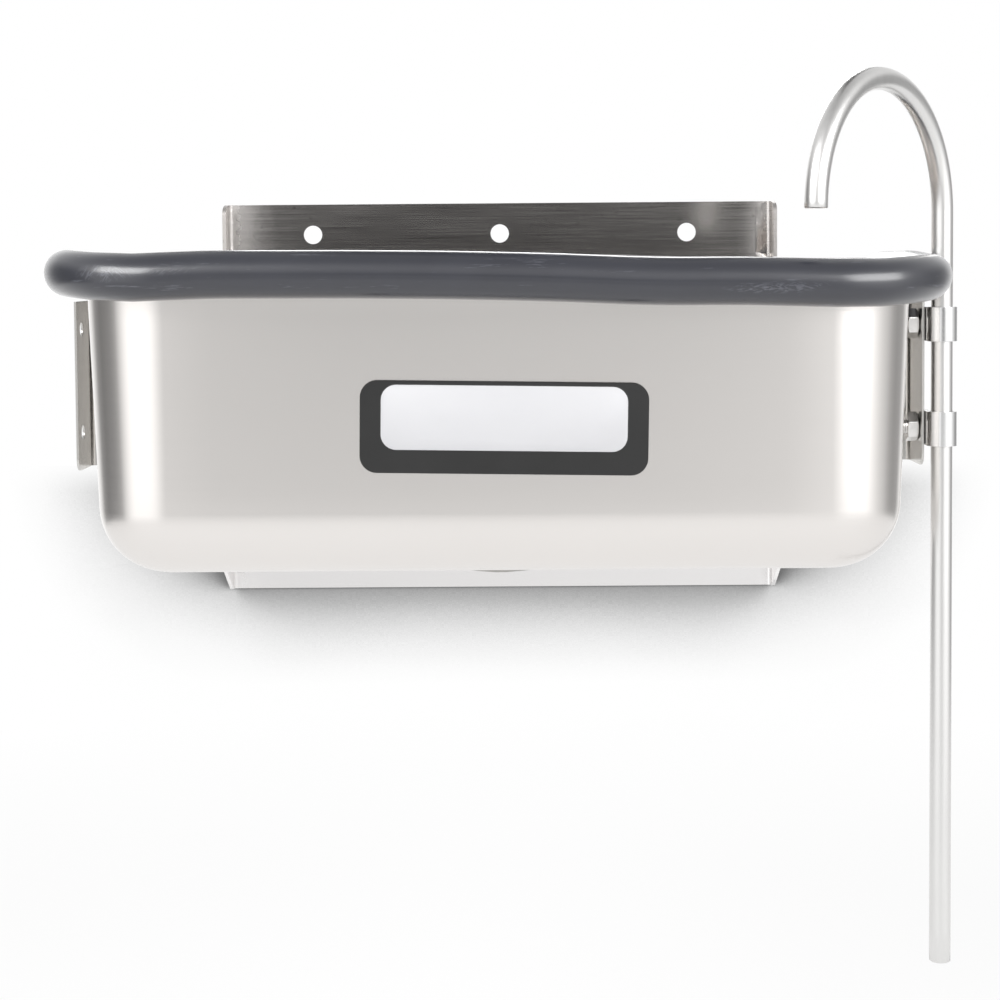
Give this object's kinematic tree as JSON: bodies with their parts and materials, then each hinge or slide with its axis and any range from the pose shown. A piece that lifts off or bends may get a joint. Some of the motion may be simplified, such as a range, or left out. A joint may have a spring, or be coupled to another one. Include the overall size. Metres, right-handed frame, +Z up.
{
  "type": "dipper well",
  "caption": "Wall-mounted dipper well: a drawn steel rinse basin with a rubber rim bumper, back plate, side brackets, a swivelling gooseneck tube and a drain with a lift-out overflow tube.",
  "frame": {"origin": "on the back plate's rear face, on the centre line, at the height of the basin's rim flange", "axes": "+Z up, +Y into the wall, so the front faces -Y; +X is the right-hand side seen from the front, where the gooseneck tube stands"},
  "size_m": [0.2632, 0.1599, 0.2643],
  "materials": {
    "basin_steel": "satin, drawn and brushed round the walls",
    "bumper_rubber": "smooth extruded rubber with a soft sheen",
    "plate_steel": "mill finish, scuffed, reads dark",
    "label_film": "dark film with a bare light panel",
    "bracket_steel": "mill finish",
    "clamp_steel": "bright strip",
    "fastener_steel": "bright plated",
    "washer_steel": "dull",
    "tube_steel": "drawn along its length",
    "drain_steel": "turned and buffed",
    "locknut_steel": "cast, machined on its faces",
    "seal_rubber": "matte moulded rubber",
    "fibre": "pressed red-brown fibre"
  },
  "bodies": {
    "well": {"basin": "basin_steel", "rim_bumper": "bumper_rubber", "back_plate": "plate_steel", "label_plate": "label_film", "right_side_bracket": "bracket_steel", "left_side_bracket": "bracket_steel", "upper_tube_clamp": "clamp_steel", "upper_clamp_screw": "fastener_steel", "upper_clamp_lock_washer": "washer_steel", "upper_clamp_nut": "fastener_steel", "lower_tube_clamp": "clamp_steel", "lower_clamp_screw": "fastener_steel", "lower_clamp_lock_washer": "washer_steel", "lower_clamp_nut": "fastener_steel", "drain_body": "drain_steel", "drain_gasket": "seal_rubber", "drain_fibre_washer": "fibre", "drain_locknut": "locknut_steel"},
    "gooseneck": {"gooseneck_tube": "tube_steel"},
    "overflow": {"overflow_tube": "drain_steel", "overflow_seal": "seal_rubber", "overflow_strainer_cap": "drain_steel"}
  },
  "joints": [
    {"name": "gooseneck_swivel", "type": "hinge", "parent": "well", "child": "gooseneck", "pos_m": [0.13118, -0.0966, 0], "axis": [0, 0, 1], "range_deg": [-180, 180]},
    {"name": "overflow_lift", "type": "slide", "parent": "well", "child": "overflow", "axis": [0, 0, 1], "range_m": [0, 0.11]}
  ]
}
